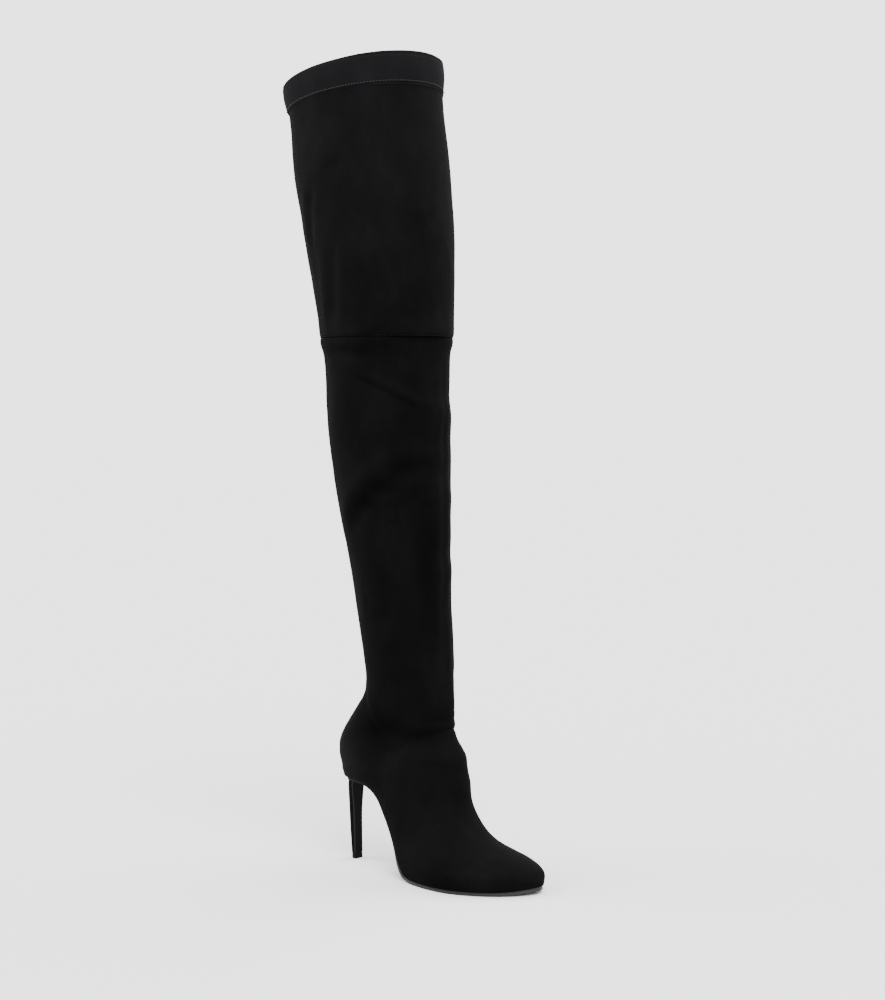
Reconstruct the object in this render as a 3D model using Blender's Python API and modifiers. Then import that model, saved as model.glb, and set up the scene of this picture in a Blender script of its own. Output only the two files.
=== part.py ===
"""Right thigh high boot on a slim heel, in metres, +X to the toe, +Y to the inner side, +Z up.

The origin is the middle of the heel's tread, on the floor. The boot is a set of lofts: short
tables give the last and the leg as shares of the named sizes, and a smooth curve runs through
the rows of each table.
"""
import math
from collections import namedtuple

import bmesh
import bpy
from mathutils import Vector

# Driving sizes of the last
HEEL_BACK = -0.0050
SOLE_LENGTH = 0.2045
BALL_WIDTH = 0.084
SEAT_HEIGHT = 0.0785
INSTEP_HEIGHT = 0.1235
TOE_WANDER = 0.010
WAIST_BOW = 0.0025

# Driving sizes of the leg
KNEE_HEIGHT = 0.457
BOOT_HEIGHT = 0.688
CALF_DEPTH = 0.111
LEG_LEAN = 0.016
COLLAR_RISE = 0.020
BAND_HEIGHT = 0.0235

# Walls and clearances
WALL = 0.0016
GAP = 0.0003
SEAM_LAP = 0.008
MARGIN = 0.009
COUNTER_STEP = 0.0014
COUNTER_SOFT = 0.007

# Sole, heel and insole; WAIST_RISE is the share of the arch's rise at which the sole has its
# waist's sizes, BREAST_ALONG, BREAST_JOIN and SEAT_ALONG are shares of the sole's length
SOLE_THICK = 0.003
WAIST_THICK = 0.0018
SOLE_INSET = 0.0012
WAIST_INSET = 0.003
FLAP_THICK = 0.0016
WAIST_RISE = 0.4
BREAST_ALONG = 0.088
BREAST_JOIN = 0.02
BREAST_RADIUS = 0.009
BREAST_FLARE = 2.2
BREAST_BACKED = 0.8
SEAT_ALONG = 0.070
SEAT_CLEAR = 0.0006
INSOLE_THICK = 0.0018
INSOLE_CLEAR = 0.0016
INSOLE_LIFT = 0.0007
TOP_PIECE_THICK = 0.005
STEM_WIDTH = 0.0098
STEM_DEPTH = 0.0080

# How finely the lofts are divided
COLUMNS = 28
RING_STEP = 0.0215
HEEL_COLUMNS = 14
STEM_STEPS = 5
BREAST_TURNS = (1.0, 0.88, 0.74, 0.58, 0.40, 0.20, 0.0)
SOLE_COLUMNS = 8

FOOT_STATIONS = (
    1.0, 0.985, 0.955, 0.915, 0.87, 0.82, 0.765, 0.71, 0.655, 0.60, 0.55, 0.50,
    0.45, 0.40, 0.345, 0.285, 0.225, 0.165, 0.11, 0.065, 0.03, 0.008, 0.0,
)

# The last's bottom: along is a share of the sole's length from the heel, rise of the way from
# the forefoot's level up to the seat, outer and inner the feather edge's half-widths and
# outer_side and inner_side the greatest ones, as shares of the ball's width
Bottom = namedtuple("Bottom", "along rise outer inner outer_side inner_side")
BOTTOM = (
    Bottom(0.00, 1.000, 0.315, 0.315, 0.362, 0.362),
    Bottom(0.06, 0.986, 0.311, 0.313, 0.362, 0.362),
    Bottom(0.12, 0.970, 0.298, 0.304, 0.362, 0.360),
    Bottom(0.18, 0.942, 0.286, 0.284, 0.362, 0.356),
    Bottom(0.22, 0.893, 0.280, 0.266, 0.363, 0.353),
    Bottom(0.26, 0.804, 0.280, 0.250, 0.366, 0.351),
    Bottom(0.30, 0.644, 0.285, 0.238, 0.370, 0.350),
    Bottom(0.34, 0.473, 0.300, 0.232, 0.378, 0.351),
    Bottom(0.38, 0.281, 0.324, 0.232, 0.390, 0.354),
    Bottom(0.42, 0.107, 0.362, 0.242, 0.408, 0.362),
    Bottom(0.46, 0.0265, 0.396, 0.268, 0.432, 0.378),
    Bottom(0.52, 0.004, 0.436, 0.330, 0.466, 0.408),
    Bottom(0.60, 0.000, 0.468, 0.410, 0.500, 0.450),
    Bottom(0.70, 0.000, 0.488, 0.462, 0.522, 0.490),
    Bottom(0.84, 0.000, 0.490, 0.480, 0.530, 0.510),
    Bottom(0.92, 0.010, 0.490, 0.480, 0.530, 0.510),
    Bottom(1.00, 0.047, 0.490, 0.480, 0.530, 0.510),
)

# The last's top: for each station of the bottom, where its section meets the ridge. forward is a
# share of the sole's length, crest of the instep's height; aside is the ridge's shift to the
# inner side as a share of the ball's width, widest where the section is widest between bottom
# and ridge, and fuller the section's squareness
Top = namedtuple("Top", "along forward crest aside widest fuller")
TOP = (
    Top(0.00, 0.5580, 1.000, 0.010, 0.30, 2.00),
    Top(0.06, 0.5760, 0.955, 0.014, 0.30, 2.00),
    Top(0.14, 0.5910, 0.908, 0.022, 0.31, 2.00),
    Top(0.22, 0.6000, 0.850, 0.030, 0.32, 2.00),
    Top(0.30, 0.6070, 0.770, 0.036, 0.33, 1.98),
    Top(0.38, 0.6130, 0.680, 0.040, 0.34, 1.96),
    Top(0.46, 0.6210, 0.580, 0.042, 0.35, 1.94),
    Top(0.54, 0.6350, 0.475, 0.044, 0.36, 1.92),
    Top(0.62, 0.6640, 0.370, 0.046, 0.37, 1.90),
    Top(0.70, 0.7140, 0.292, 0.044, 0.38, 1.86),
    Top(0.78, 0.7820, 0.250, 0.038, 0.40, 1.84),
    Top(0.86, 0.8600, 0.218, 0.030, 0.42, 1.86),
    Top(0.93, 0.9310, 0.184, 0.020, 0.45, 1.92),
    Top(0.97, 0.9740, 0.149, 0.010, 0.48, 1.98),
    Top(1.00, 1.0000, 0.085, 0.000, 0.50, 2.00),
)

# The leg's rings: height is a share of the knee's height and slope the front's rise over the
# back; middle and depth are shares of the calf's depth, broad the width over the depth, and
# lean a share of the leg's lean to the outer side
Ring = namedtuple("Ring", "height slope middle depth broad lean widest")
ANKLE_RINGS = (
    Ring(0.2341, 0.355, 0.4470, 1.0160, 0.545, 0.00, 0.31),
    Ring(0.2473, 0.314, 0.4340, 1.0340, 0.545, 0.00, 0.32),
    Ring(0.2604, 0.279, 0.4330, 1.0340, 0.548, 0.00, 0.33),
    Ring(0.2724, 0.257, 0.4460, 1.0260, 0.552, 0.00, 0.34),
    Ring(0.2845, 0.239, 0.4620, 0.9940, 0.568, 0.00, 0.36),
    Ring(0.2972, 0.225, 0.4830, 0.9540, 0.592, -0.02, 0.38),
    Ring(0.3103, 0.208, 0.5060, 0.9040, 0.624, -0.04, 0.40),
    Ring(0.3245, 0.189, 0.5310, 0.8480, 0.664, -0.06, 0.42),
    Ring(0.3387, 0.166, 0.5510, 0.8000, 0.706, -0.08, 0.44),
    Ring(0.3541, 0.139, 0.5620, 0.7660, 0.746, -0.10, 0.46),
    Ring(0.3698, 0.100, 0.5620, 0.7520, 0.776, -0.11, 0.48),
)
LEG_RINGS = (
    Ring(0.3960, 0.050, 0.5530, 0.7560, 0.816, -0.11, 0.50),
    Ring(0.4945, 0.000, 0.5100, 0.7830, 0.860, -0.04, 0.50),
    Ring(0.6060, 0.000, 0.4700, 0.8520, 0.880, 0.06, 0.50),
    Ring(0.7180, 0.000, 0.4240, 0.9360, 0.890, 0.16, 0.49),
    Ring(0.8290, 0.000, 0.4000, 0.9920, 0.900, 0.26, 0.48),
    Ring(0.9210, 0.000, 0.3870, 1.0020, 0.900, 0.33, 0.49),
    Ring(1.0000, 0.000, 0.3830, 1.0360, 0.900, 0.39, 0.50),
    Ring(1.1050, 0.000, 0.3640, 1.1100, 0.900, 0.50, 0.50),
    Ring(1.2170, 0.020, 0.3280, 1.1880, 0.900, 0.64, 0.50),
    Ring(1.3090, 0.060, 0.2850, 1.2130, 0.900, 0.76, 0.50),
    Ring(1.4000, 0.110, 0.2520, 1.1950, 0.900, 0.88, 0.50),
    Ring(1.4900, 0.170, 0.2230, 1.2240, 0.900, 1.00, 0.50),
)

# The stiff counter's top line, which stands out under the slack ankle: forward is a share of
# the sole's length from the heel, height of the instep's height
Counter = namedtuple("Counter", "forward height")
COUNTER = (
    Counter(0.00, 1.300),
    Counter(0.08, 1.240),
    Counter(0.18, 1.110),
    Counter(0.25, 1.010),
    Counter(0.32, 0.890),
    Counter(0.38, 0.835),
    Counter(0.44, 0.795),
    Counter(0.55, 0.775),
    Counter(0.66, 0.770),
)

# The heel's stem from its tread up: height is a share of the seat's height, back and front are
# shares of the stem's depth and width one of its width
Stem = namedtuple("Stem", "height back front width")
STEMS = (
    Stem(0.070, -0.57, 0.33, 0.90),
    Stem(0.285, -0.78, 0.29, 0.92),
    Stem(0.540, -0.94, 0.24, 1.00),
    Stem(0.715, -0.97, 0.24, 1.26),
    Stem(0.850, -0.94, 0.26, 1.50),
    Stem(0.935, -0.88, 0.28, 1.80),
)


def smooth(table, key, column, at):
    """A curve without overshoot through one column of a table, read at a value of its key."""
    xs = [getattr(row, key) for row in table]
    ys = [getattr(row, column) for row in table]
    if at <= xs[0]:
        return ys[0]
    if at >= xs[-1]:
        return ys[-1]
    steps = [(ys[i + 1] - ys[i]) / (xs[i + 1] - xs[i]) for i in range(len(xs) - 1)]
    slopes = [steps[0]]
    for before, after in zip(steps, steps[1:]):
        if before * after <= 0.0:
            slopes.append(0.0)
        else:
            slopes.append(2.0 * before * after / (before + after))
    slopes.append(steps[-1])
    i = max(k for k in range(len(xs) - 1) if xs[k] <= at)
    span = xs[i + 1] - xs[i]
    t = (at - xs[i]) / span
    start = (1.0 + 2.0 * t) * (1.0 - t) ** 2 * ys[i] + t * (1.0 - t) ** 2 * span * slopes[i]
    finish = t * t * (3.0 - 2.0 * t) * ys[i + 1] - t * t * (1.0 - t) * span * slopes[i + 1]
    return start + finish


def lerp(a, b, t):
    return a + (b - a) * t


def toe_round(along):
    """The half-width of the toe's almond outline as a share of the full one."""
    start, power = 0.70, 1.6
    if along <= start:
        return 1.0
    share = min(1.0, (along - start) / (1.0 - start))
    return (1.0 - share ** power) ** (1.0 / power)


def heel_round(along):
    """The half-width of the seat's round outline as a share of the full one."""
    end, power = 0.14, 2.1
    if along >= end:
        return 1.0
    share = 1.0 - max(0.0, along) / end
    return (1.0 - share ** power) ** (1.0 / power)


def bottom(along, column):
    return smooth(BOTTOM, "along", column, along)


def top(along, column):
    return smooth(TOP, "along", column, along)


def along_to_x(along):
    return HEEL_BACK + SOLE_LENGTH * along


def middle_line(along):
    """How far the last's centre line lies to the inner side."""
    bend_start, bend_power, waist_end = 0.62, 1.3, 0.9
    swing = max(0.0, (along - bend_start) / (1.0 - bend_start))
    bow = math.sin(math.pi * min(1.0, along / waist_end))
    return TOE_WANDER * swing ** bend_power - WAIST_BOW * bow ** 2


def bottom_height(along):
    return lerp(SOLE_THICK + GAP, SEAT_HEIGHT, bottom(along, "rise"))


def bottom_normal(along):
    """The direction square to the last's bottom, upward."""
    step = 0.004
    rise = bottom_height(along + step) - bottom_height(along - step)
    return Vector((-rise, 0.0, 2.0 * step * SOLE_LENGTH)).normalized()


def feather(along, side):
    """A point of the feather edge; side is +1 for the inner edge and -1 for the outer."""
    half = BALL_WIDTH * bottom(along, "inner" if side > 0 else "outer")
    half *= toe_round(along) * heel_round(along)
    return Vector((along_to_x(along), middle_line(along) + side * half, bottom_height(along)))


def drawn_in(along, inset):
    """Where a station lands on an outline drawn in by inset: only the two ends move along."""
    end = 0.16
    from_end = min(along, 1.0 - along)
    if from_end >= end:
        return along
    share = 1.0 - from_end / end
    pull = inset / SOLE_LENGTH * share * share * (3.0 - 2.0 * share)
    return along + pull if along < 0.5 else along - pull


def inset_edge(along, side, inset):
    """The feather edge drawn in by about inset all round, on the same bottom."""
    place = drawn_in(along, inset)
    half = abs(feather(along, side).y - middle_line(along))
    half *= 1.0 - inset / (0.5 * BALL_WIDTH)
    return Vector((along_to_x(place), middle_line(place) + side * half, bottom_height(place)))


def sole_size(along, tread, waist):
    """A size of the sole that goes from its tread's value to its waist's with the arch's rise."""
    share = min(1.0, bottom(along, "rise") / WAIST_RISE)
    return lerp(tread, waist, share * share * (3.0 - 2.0 * share))


def arch_parameters(count):
    """Pairs of side and share up the section, from the inner edge over the top to the outer."""
    half = count // 2
    for k in range(count + 1):
        side = 1.0 if k < half else -1.0
        yield side, 1.0 - abs(k - half) / half


def arch_shape(share, narrow, widest, fuller):
    """Height up the section and half-width, both as shares, for a share of the way round."""
    turn = 0.42
    if share < turn:
        start = math.asin(min(0.999, narrow))
        angle = lerp(start, 0.5 * math.pi, share / turn)
        return widest * (1.0 - math.cos(angle) / math.cos(start)), math.sin(angle)
    angle = 0.5 * math.pi * (share - turn) / (1.0 - turn)
    power = 2.0 / fuller
    return widest + (1.0 - widest) * math.sin(angle) ** power, max(0.0, math.cos(angle)) ** power


def stood_out(point, side, broad):
    """A point of the foot or ankle, moved out where the counter stands out under the shaft."""
    line = INSTEP_HEIGHT * smooth(COUNTER, "forward", "height", (point.x - HEEL_BACK) / SOLE_LENGTH)
    share = min(1.0, max(0.0, 0.5 + (line - point.z) / COUNTER_SOFT))
    step = COUNTER_STEP * share * share * (3.0 - 2.0 * share)
    fade = min(1.0, point.z / SEAT_HEIGHT)
    return point + Vector((0.0, side * step * broad * fade, 0.0))


def foot_section(along):
    """One row of the upper's foot, from the inner feather edge over the ridge to the outer."""
    base = Vector((along_to_x(along), 0.0, bottom_height(along)))
    ridge = Vector((HEEL_BACK + SOLE_LENGTH * top(along, "forward"), 0.0,
                    INSTEP_HEIGHT * top(along, "crest")))
    widest, fuller = top(along, "widest"), top(along, "fuller")
    middle = middle_line(along)
    lean = BALL_WIDTH * top(along, "aside")
    points = []
    for side, share in arch_parameters(COLUMNS):
        half = BALL_WIDTH * bottom(along, "inner_side" if side > 0 else "outer_side")
        half *= toe_round(along)
        edge = abs(feather(along, side).y - middle)
        narrow = edge / half if half > 1e-6 else 1.0
        rise, reach = arch_shape(share, min(1.0, narrow), widest, fuller)
        point = lerp(base, ridge, rise)
        point.y = middle + side * half * reach + lean * rise ** 1.5
        points.append(stood_out(point, side, math.sin(math.pi * share) ** 0.5))
    if along >= 1.0:
        points = [feather(1.0, 1.0)] * len(points)
    return points


def foot_row(along):
    """A foot section with the lasting margin turned in under it at both ends."""
    inner = inset_edge(along, 1.0, MARGIN)
    outer = inset_edge(along, -1.0, MARGIN)
    return [inner] + foot_section(along) + [outer]


def ring(height, stand=0.0, table=LEG_RINGS, columns=COLUMNS):
    """A closed ring of the leg at a share of the knee's height, stood off by a distance."""
    slope, middle, depth, broad, lean, widest = (
        smooth(table, "height", name, height) for name in Ring._fields[1:])
    half_depth = 0.5 * CALF_DEPTH * depth
    half_width = half_depth * broad + stand
    half_depth += stand
    centre = Vector((CALF_DEPTH * middle, -LEG_LEAN * lean, KNEE_HEIGHT * height))
    points = []
    for side, share in arch_parameters(columns):
        rise, reach = arch_shape(share, 0.0, widest, 2.0)
        forward = half_depth * (2.0 * rise - 1.0)
        point = centre + Vector((forward, side * half_width * reach, slope * forward))
        points.append(stood_out(point, side, reach))
    return points


def ring_heights(start, end):
    count = max(1, round((end - start) * KNEE_HEIGHT / RING_STEP))
    return [lerp(start, end, k / count) for k in range(count + 1)]


class Sheet:
    """A mesh that is built row by row, with points that coincide made one."""

    def __init__(self):
        self.mesh = bmesh.new()
        self.known = {}

    def vertex(self, point):
        key = tuple(round(value, 6) for value in point)
        if key not in self.known:
            self.known[key] = self.mesh.verts.new(point)
        return self.known[key]

    def face(self, points):
        corners = []
        for point in points:
            corner = self.vertex(point)
            if corner not in corners:
                corners.append(corner)
        if len(corners) > 2 and self.mesh.faces.get(corners) is None:
            self.mesh.faces.new(corners)

    def rows(self, rows, closed=False):
        for low, high in zip(rows, rows[1:]):
            count = len(low)
            for k in range(count if closed else count - 1):
                n = (k + 1) % count
                self.face((low[k], low[n], high[n], high[k]))

    def cap(self, row):
        self.face(row)

    def finish(self, name, material, collection, wall=None):
        bmesh.ops.recalc_face_normals(self.mesh, faces=self.mesh.faces)
        data = bpy.data.meshes.new(name)
        self.mesh.to_mesh(data)
        self.mesh.free()
        data.materials.append(material)
        data.shade_smooth()
        data.set_sharp_from_angle(angle=math.radians(40.0))
        piece = bpy.data.objects.new(name, data)
        collection.objects.link(piece)
        if wall is not None:
            shell = piece.modifiers.new("wall", "SOLIDIFY")
            shell.thickness = wall
            shell.offset = -1.0
            shell.use_quality_normals = True
        return piece


def make_upper(material, collection):
    """Foot and lower leg to the knee seam in one wall, open at the knee and under the foot."""
    sheet = Sheet()
    sheet.rows([foot_row(along) for along in FOOT_STATIONS])
    rings = [foot_section(0.0)]
    rings += [ring(row.height, table=ANKLE_RINGS) for row in ANKLE_RINGS]
    top_edge = 1.0 + SEAM_LAP / KNEE_HEIGHT
    rings += [ring(height) for height in ring_heights(LEG_RINGS[0].height, top_edge)]
    sheet.rows(rings)
    return sheet.finish("upper", material, collection, WALL)


def make_thigh_panel(material, collection):
    """The upper leg's panel, lapped over the lower leg's edge at the knee seam."""
    collar = (BOOT_HEIGHT - 0.5 * COLLAR_RISE) / KNEE_HEIGHT
    tuck = collar - (BAND_HEIGHT - SEAM_LAP) / KNEE_HEIGHT
    sheet = Sheet()
    sheet.rows([ring(height, WALL + GAP) for height in ring_heights(1.0, tuck)])
    return sheet.finish("thigh_panel", material, collection, WALL)


def make_top_band(material, collection):
    """The folded hem around the collar, lapped over the panel's top edge."""
    collar = (BOOT_HEIGHT - 0.5 * COLLAR_RISE) / KNEE_HEIGHT
    low = collar - BAND_HEIGHT / KNEE_HEIGHT
    sheet = Sheet()
    heights = [lerp(low, collar, k / 3) for k in range(4)]
    sheet.rows([ring(height, 2.0 * (WALL + GAP)) for height in heights])
    return sheet.finish("top_band", material, collection, WALL)


def slab(name, upper_rows, lower_rows, material, collection):
    """A closed slab between two grids of the same shape."""
    sheet = Sheet()
    sheet.rows(upper_rows)
    sheet.rows(lower_rows)
    for edge in (0, -1):
        sheet.rows([[row[edge] for row in upper_rows], [row[edge] for row in lower_rows]])
        sheet.rows([upper_rows[edge], lower_rows[edge]])
    return sheet.finish(name, material, collection)


def across(inner, outer):
    return [lerp(inner, outer, k / SOLE_COLUMNS) for k in range(SOLE_COLUMNS + 1)]


def bottom_row(along, inset, lift):
    """A row of points across the last's bottom, lifted square to it by a distance."""
    rise = lift * bottom_normal(drawn_in(along, inset))
    return [point + rise for point in across(inset_edge(along, 1.0, inset),
                                             inset_edge(along, -1.0, inset))]


def make_insole(material, collection):
    """The insole board on the turned-in margin."""
    inset = WALL + INSOLE_CLEAR
    low = WALL + INSOLE_LIFT
    lower = [bottom_row(along, inset, low) for along in FOOT_STATIONS]
    upper = [bottom_row(along, inset, low + INSOLE_THICK) for along in FOOT_STATIONS]
    return slab("insole", upper, lower, material, collection)


def stem_size(height, column):
    """A size of the heel's stem at a height over the floor."""
    unit = STEM_WIDTH if column == "width" else STEM_DEPTH
    return unit * smooth(STEMS, "height", column, height / SEAT_HEIGHT)


def breast_arc():
    """Centre and radius of the curve where the sole turns down the heel's breast."""
    low = bottom_height(BREAST_ALONG) - GAP - WAIST_THICK - BREAST_RADIUS
    forward = stem_size(low, "front") + BREAST_RADIUS
    return Vector((forward, 0.0, low)), BREAST_RADIUS


def breast_point(turn, outward):
    """A point of the breast's curve; turn is 0 where it meets the stem and 1 at the waist."""
    centre, radius = breast_arc()
    angle = 0.5 * math.pi * turn
    reach = radius + outward
    return centre + Vector((-reach * math.cos(angle), 0.0, reach * math.sin(angle)))


def breast_half_width(turn):
    """Half the breast's width along its curve, from the stem's out to the seat's."""
    centre, _ = breast_arc()
    stem = 0.5 * stem_size(centre.z, "width")
    seat = abs(inset_edge(BREAST_ALONG, -1.0, WAIST_INSET).y)
    return lerp(stem, seat, (1.0 - math.cos(0.5 * math.pi * turn)) ** BREAST_FLARE)


def make_outsole(material, collection):
    """The sole from the toe to the waist, turned down over the heel's breast to its tread."""
    lower, upper = [], []
    for along in FOOT_STATIONS:
        if along > BREAST_ALONG + BREAST_JOIN:
            inset = sole_size(along, SOLE_INSET, WAIST_INSET)
            thick = sole_size(along, SOLE_THICK, WAIST_THICK)
            lower.append(bottom_row(along, inset, -GAP - thick))
            upper.append(bottom_row(along, inset, -GAP))
    for turn in BREAST_TURNS:
        half = breast_half_width(turn)
        thick = lerp(FLAP_THICK, WAIST_THICK, turn ** 2)
        for rows, outward in ((lower, 0.0), (upper, thick)):
            point = breast_point(turn, outward)
            side = Vector((0.0, half, 0.0))
            rows.append(across(point + side, point - side))
    foot = TOP_PIECE_THICK + GAP
    start = breast_arc()[0].z
    for k in range(1, STEM_STEPS + 1):
        height = lerp(start, foot, k / STEM_STEPS)
        side = Vector((0.0, 0.5 * stem_size(height, "width"), 0.0))
        for rows, behind in ((lower, 0.0), (upper, FLAP_THICK)):
            point = Vector((stem_size(height, "front") - behind, 0.0, height))
            rows.append(across(point + side, point - side))
    return slab("outsole", upper, lower, material, collection)


def stem_ring(height, back, front, half_width):
    """A D-shaped ring with its flat side to the front."""
    points = []
    for k in range(HEEL_COLUMNS + 1):
        angle = math.pi * (k / HEEL_COLUMNS - 0.5)
        x = front - (front - back) * math.cos(angle) ** 0.9
        points.append(Vector((x, half_width * math.sin(angle), height)))
    return points


def seat_ring():
    """The seat's outline behind the breast, a little under the last's bottom."""
    points = []
    for k in range(HEEL_COLUMNS + 1):
        angle = math.pi * (k / HEEL_COLUMNS - 0.5)
        along = SEAT_ALONG * (1.0 - math.cos(angle))
        edge = inset_edge(along, -1.0 if angle < 0.0 else 1.0, SOLE_INSET)
        points.append(edge - Vector((0.0, 0.0, SEAT_CLEAR)))
    return points


def make_heel(material, collection):
    """The covered heel: its stem, the flare under the seat and the seat itself."""
    rows = []
    foot = TOP_PIECE_THICK + GAP
    start = breast_arc()[0].z
    for k in range(STEM_STEPS + 1):
        height = lerp(foot, start, k / STEM_STEPS)
        rows.append(stem_ring(height, stem_size(height, "back"),
                              stem_size(height, "front") - FLAP_THICK - GAP,
                              0.5 * stem_size(height, "width")))
    for turn in BREAST_TURNS[::-1]:
        if 0.0 < turn < BREAST_BACKED:
            thick = lerp(FLAP_THICK, WAIST_THICK, turn ** 2) + GAP
            front = breast_point(turn, thick)
            rows.append(stem_ring(front.z, stem_size(front.z, "back"), front.x,
                                  breast_half_width(turn)))
    rows.append(seat_ring())
    sheet = Sheet()
    sheet.rows(rows, closed=True)
    sheet.cap(rows[0])
    sheet.cap(rows[-1])
    return sheet.finish("heel", material, collection)


def make_top_piece(material, collection):
    """The heel's tread, flat on the floor."""
    height = TOP_PIECE_THICK
    rows = [stem_ring(level, stem_size(height, "back"), stem_size(height, "front"),
                      0.5 * stem_size(height, "width")) for level in (0.0, height)]
    sheet = Sheet()
    sheet.rows(rows, closed=True)
    sheet.cap(rows[0])
    sheet.cap(rows[-1])
    return sheet.finish("top_piece", material, collection)


def make_material(name, colour, roughness):
    material = bpy.data.materials.new(name)
    material.use_nodes = True
    shader = material.node_tree.nodes["Principled BSDF"]
    shader.inputs["Base Color"].default_value = (*colour, 1.0)
    shader.inputs["Roughness"].default_value = roughness
    shader.inputs["Metallic"].default_value = 0.0
    return material


def main():
    for leftover in list(bpy.data.objects):
        bpy.data.objects.remove(leftover, do_unlink=True)
    collection = bpy.data.collections.new("thigh_high_boot")
    bpy.context.scene.collection.children.link(collection)
    suede = make_material("suede_fabric", (0.012, 0.012, 0.013), 0.85)
    band = make_material("band_fabric", (0.017, 0.017, 0.018), 0.8)
    gloss = make_material("sole_gloss", (0.006, 0.006, 0.006), 0.2)
    rubber = make_material("heel_rubber", (0.01, 0.01, 0.01), 0.6)
    lining = make_material("lining", (0.02, 0.019, 0.018), 0.7)
    make_upper(suede, collection)
    make_thigh_panel(suede, collection)
    make_top_band(band, collection)
    make_outsole(gloss, collection)
    make_heel(suede, collection)
    make_top_piece(rubber, collection)
    make_insole(lining, collection)


main()
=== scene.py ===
"""Looks of the right thigh high boot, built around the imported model.

Metres, +X to the toe, +Y to the inner side, +Z up, origin in the middle of the heel's tread.
The boot's forms repeat the model's sizes and tables, far more finely divided, and the folds of
the slack fabric are laid over them.
"""
import math
from collections import namedtuple

import bmesh
import bpy
import numpy as np
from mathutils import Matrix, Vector, noise


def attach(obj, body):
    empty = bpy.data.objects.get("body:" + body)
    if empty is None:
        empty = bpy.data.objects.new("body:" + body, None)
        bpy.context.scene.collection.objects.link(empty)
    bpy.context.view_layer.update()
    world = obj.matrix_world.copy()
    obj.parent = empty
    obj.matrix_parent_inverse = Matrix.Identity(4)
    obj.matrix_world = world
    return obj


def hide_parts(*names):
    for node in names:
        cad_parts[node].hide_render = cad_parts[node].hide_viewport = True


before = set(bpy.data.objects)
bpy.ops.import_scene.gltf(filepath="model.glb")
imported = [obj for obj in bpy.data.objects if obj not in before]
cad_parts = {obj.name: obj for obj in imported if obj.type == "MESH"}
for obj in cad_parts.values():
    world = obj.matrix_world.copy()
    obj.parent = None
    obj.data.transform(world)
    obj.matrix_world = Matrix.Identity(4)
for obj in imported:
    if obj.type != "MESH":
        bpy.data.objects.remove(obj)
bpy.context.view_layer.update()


def table(columns, *rows):
    """The rows of a table, with the names of its columns."""
    kind = namedtuple("Row", columns)
    return [kind(*row) for row in rows]


# Driving sizes of the last
HEEL_BACK = -0.0050
SOLE_LENGTH = 0.2045
BALL_WIDTH = 0.084
SEAT_HEIGHT = 0.0785
INSTEP_HEIGHT = 0.1235
TOE_WANDER = 0.010
TOE_ROUND = 0.30
HEEL_ROUND = 0.14
INSET_END = 0.16

# Driving sizes of the leg
KNEE_HEIGHT = 0.457
BOOT_HEIGHT = 0.688
CALF_DEPTH = 0.111
LEG_LEAN = 0.016
COLLAR_RISE = 0.020
BAND_HEIGHT = 0.0235
COLLAR = (BOOT_HEIGHT - 0.5 * COLLAR_RISE) / KNEE_HEIGHT
BAND_LOW = COLLAR - BAND_HEIGHT / KNEE_HEIGHT

# Walls and clearances
WALL = 0.0016
GAP = 0.0003
SEAM_LAP = 0.008
MARGIN = 0.009
COUNTER_STEP = 0.0014
COUNTER_SOFT = 0.007

# Sole, heel and insole
SOLE_THICK = 0.003
WAIST_THICK = 0.0018
SOLE_INSET = 0.0012
WAIST_INSET = 0.003
FLAP_THICK = 0.0016
BREAST_ALONG = 0.088
BREAST_RADIUS = 0.009
BREAST_FLARE = 2.2
SEAT_ALONG = 0.070
SEAT_CLEAR = 0.0006
INSOLE_THICK = 0.0018
INSOLE_CLEAR = 0.0016
INSOLE_LIFT = 0.0007
TOP_PIECE_THICK = 0.005
EDGE_ROUND = 0.0004
INSOLE_ROUND = 0.0003
SHARP_ANGLE = math.radians(45.0)
BEVEL_ANGLE = math.radians(50.0)
STEM_WIDTH = 0.0098
STEM_DEPTH = 0.0080

# The folds: their gain, how far they reach, the share of their length that fades at an end and
# what is left there, and where and over how long they fade in from sole, knee seam and band
FOLD_GAIN = 1.25
FOLD_REACH = 0.03
FOLD_END = 0.25
FOLD_LEFT = 0.15
SOLE_FADE = (0.010, 0.012)
SEAM_FADE = (0.004, 0.010)
BAND_FADE = (0.016, 0.012)

# The knee seam: how far the lower shaft draws in under the panel and where, how far from it the
# rows are fine and their step, and the turn round the leg where its front lies
KNEE_TUCK = 0.0016
TUCK_START = 0.0004
TUCK_BLEND = 0.0012
FINE_REACH = 0.012
FINE_STEP = 0.0006
FRONT_TURN = 0.54
FRONT_REACH = 0.07

# The fabric's unevenness: its strength, the size of its waves and how far it calms over the foot
UPPER_SLACK = ((0.0006, 0.026, 0.8), (0.00022, 0.009, 0.7))
PANEL_SLACK = ((0.0007, 0.034), (0.00025, 0.010))
BAND_SLACK = (0.0004, 0.018)
CALM_HEIGHT = 0.125
CALM_BLEND = 0.012

# Stitches: their height in the band as a share of it, a stitch's sizes, how far to both sides the
# ring is read to lay it along, and its sides and its swell from end to end
STITCH_LEVEL = 0.10
STITCH_PITCH = 0.0026
STITCH_LENGTH = 0.0017
STITCH_RADIUS = 0.00034
STITCH_AIM = 0.0006
STITCH_SIDES = 6
STITCH_PROFILE = ((-0.5, 0.0), (-0.42, 0.7), (-0.2, 1.0), (0.2, 1.0), (0.42, 0.7), (0.5, 0.0))

# The turn round the leg where the band's ends are joined, and the band's soft hills and grooves
# up its height and beside that joint: rise, middle and reach
BAND_JOINT_TURN = 0.885
BAND_HILLS = ((-0.001, 1.0, 0.05), (-0.0011, 0.0, 0.45), (-0.0011, 0.0, 0.04),
              (-0.0002, STITCH_LEVEL, 0.04), (0.0004, 0.5, 0.3))
JOINT_HILLS = ((-0.0009, 0.0, 0.0035), (0.0005, 0.012, 0.006))

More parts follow.
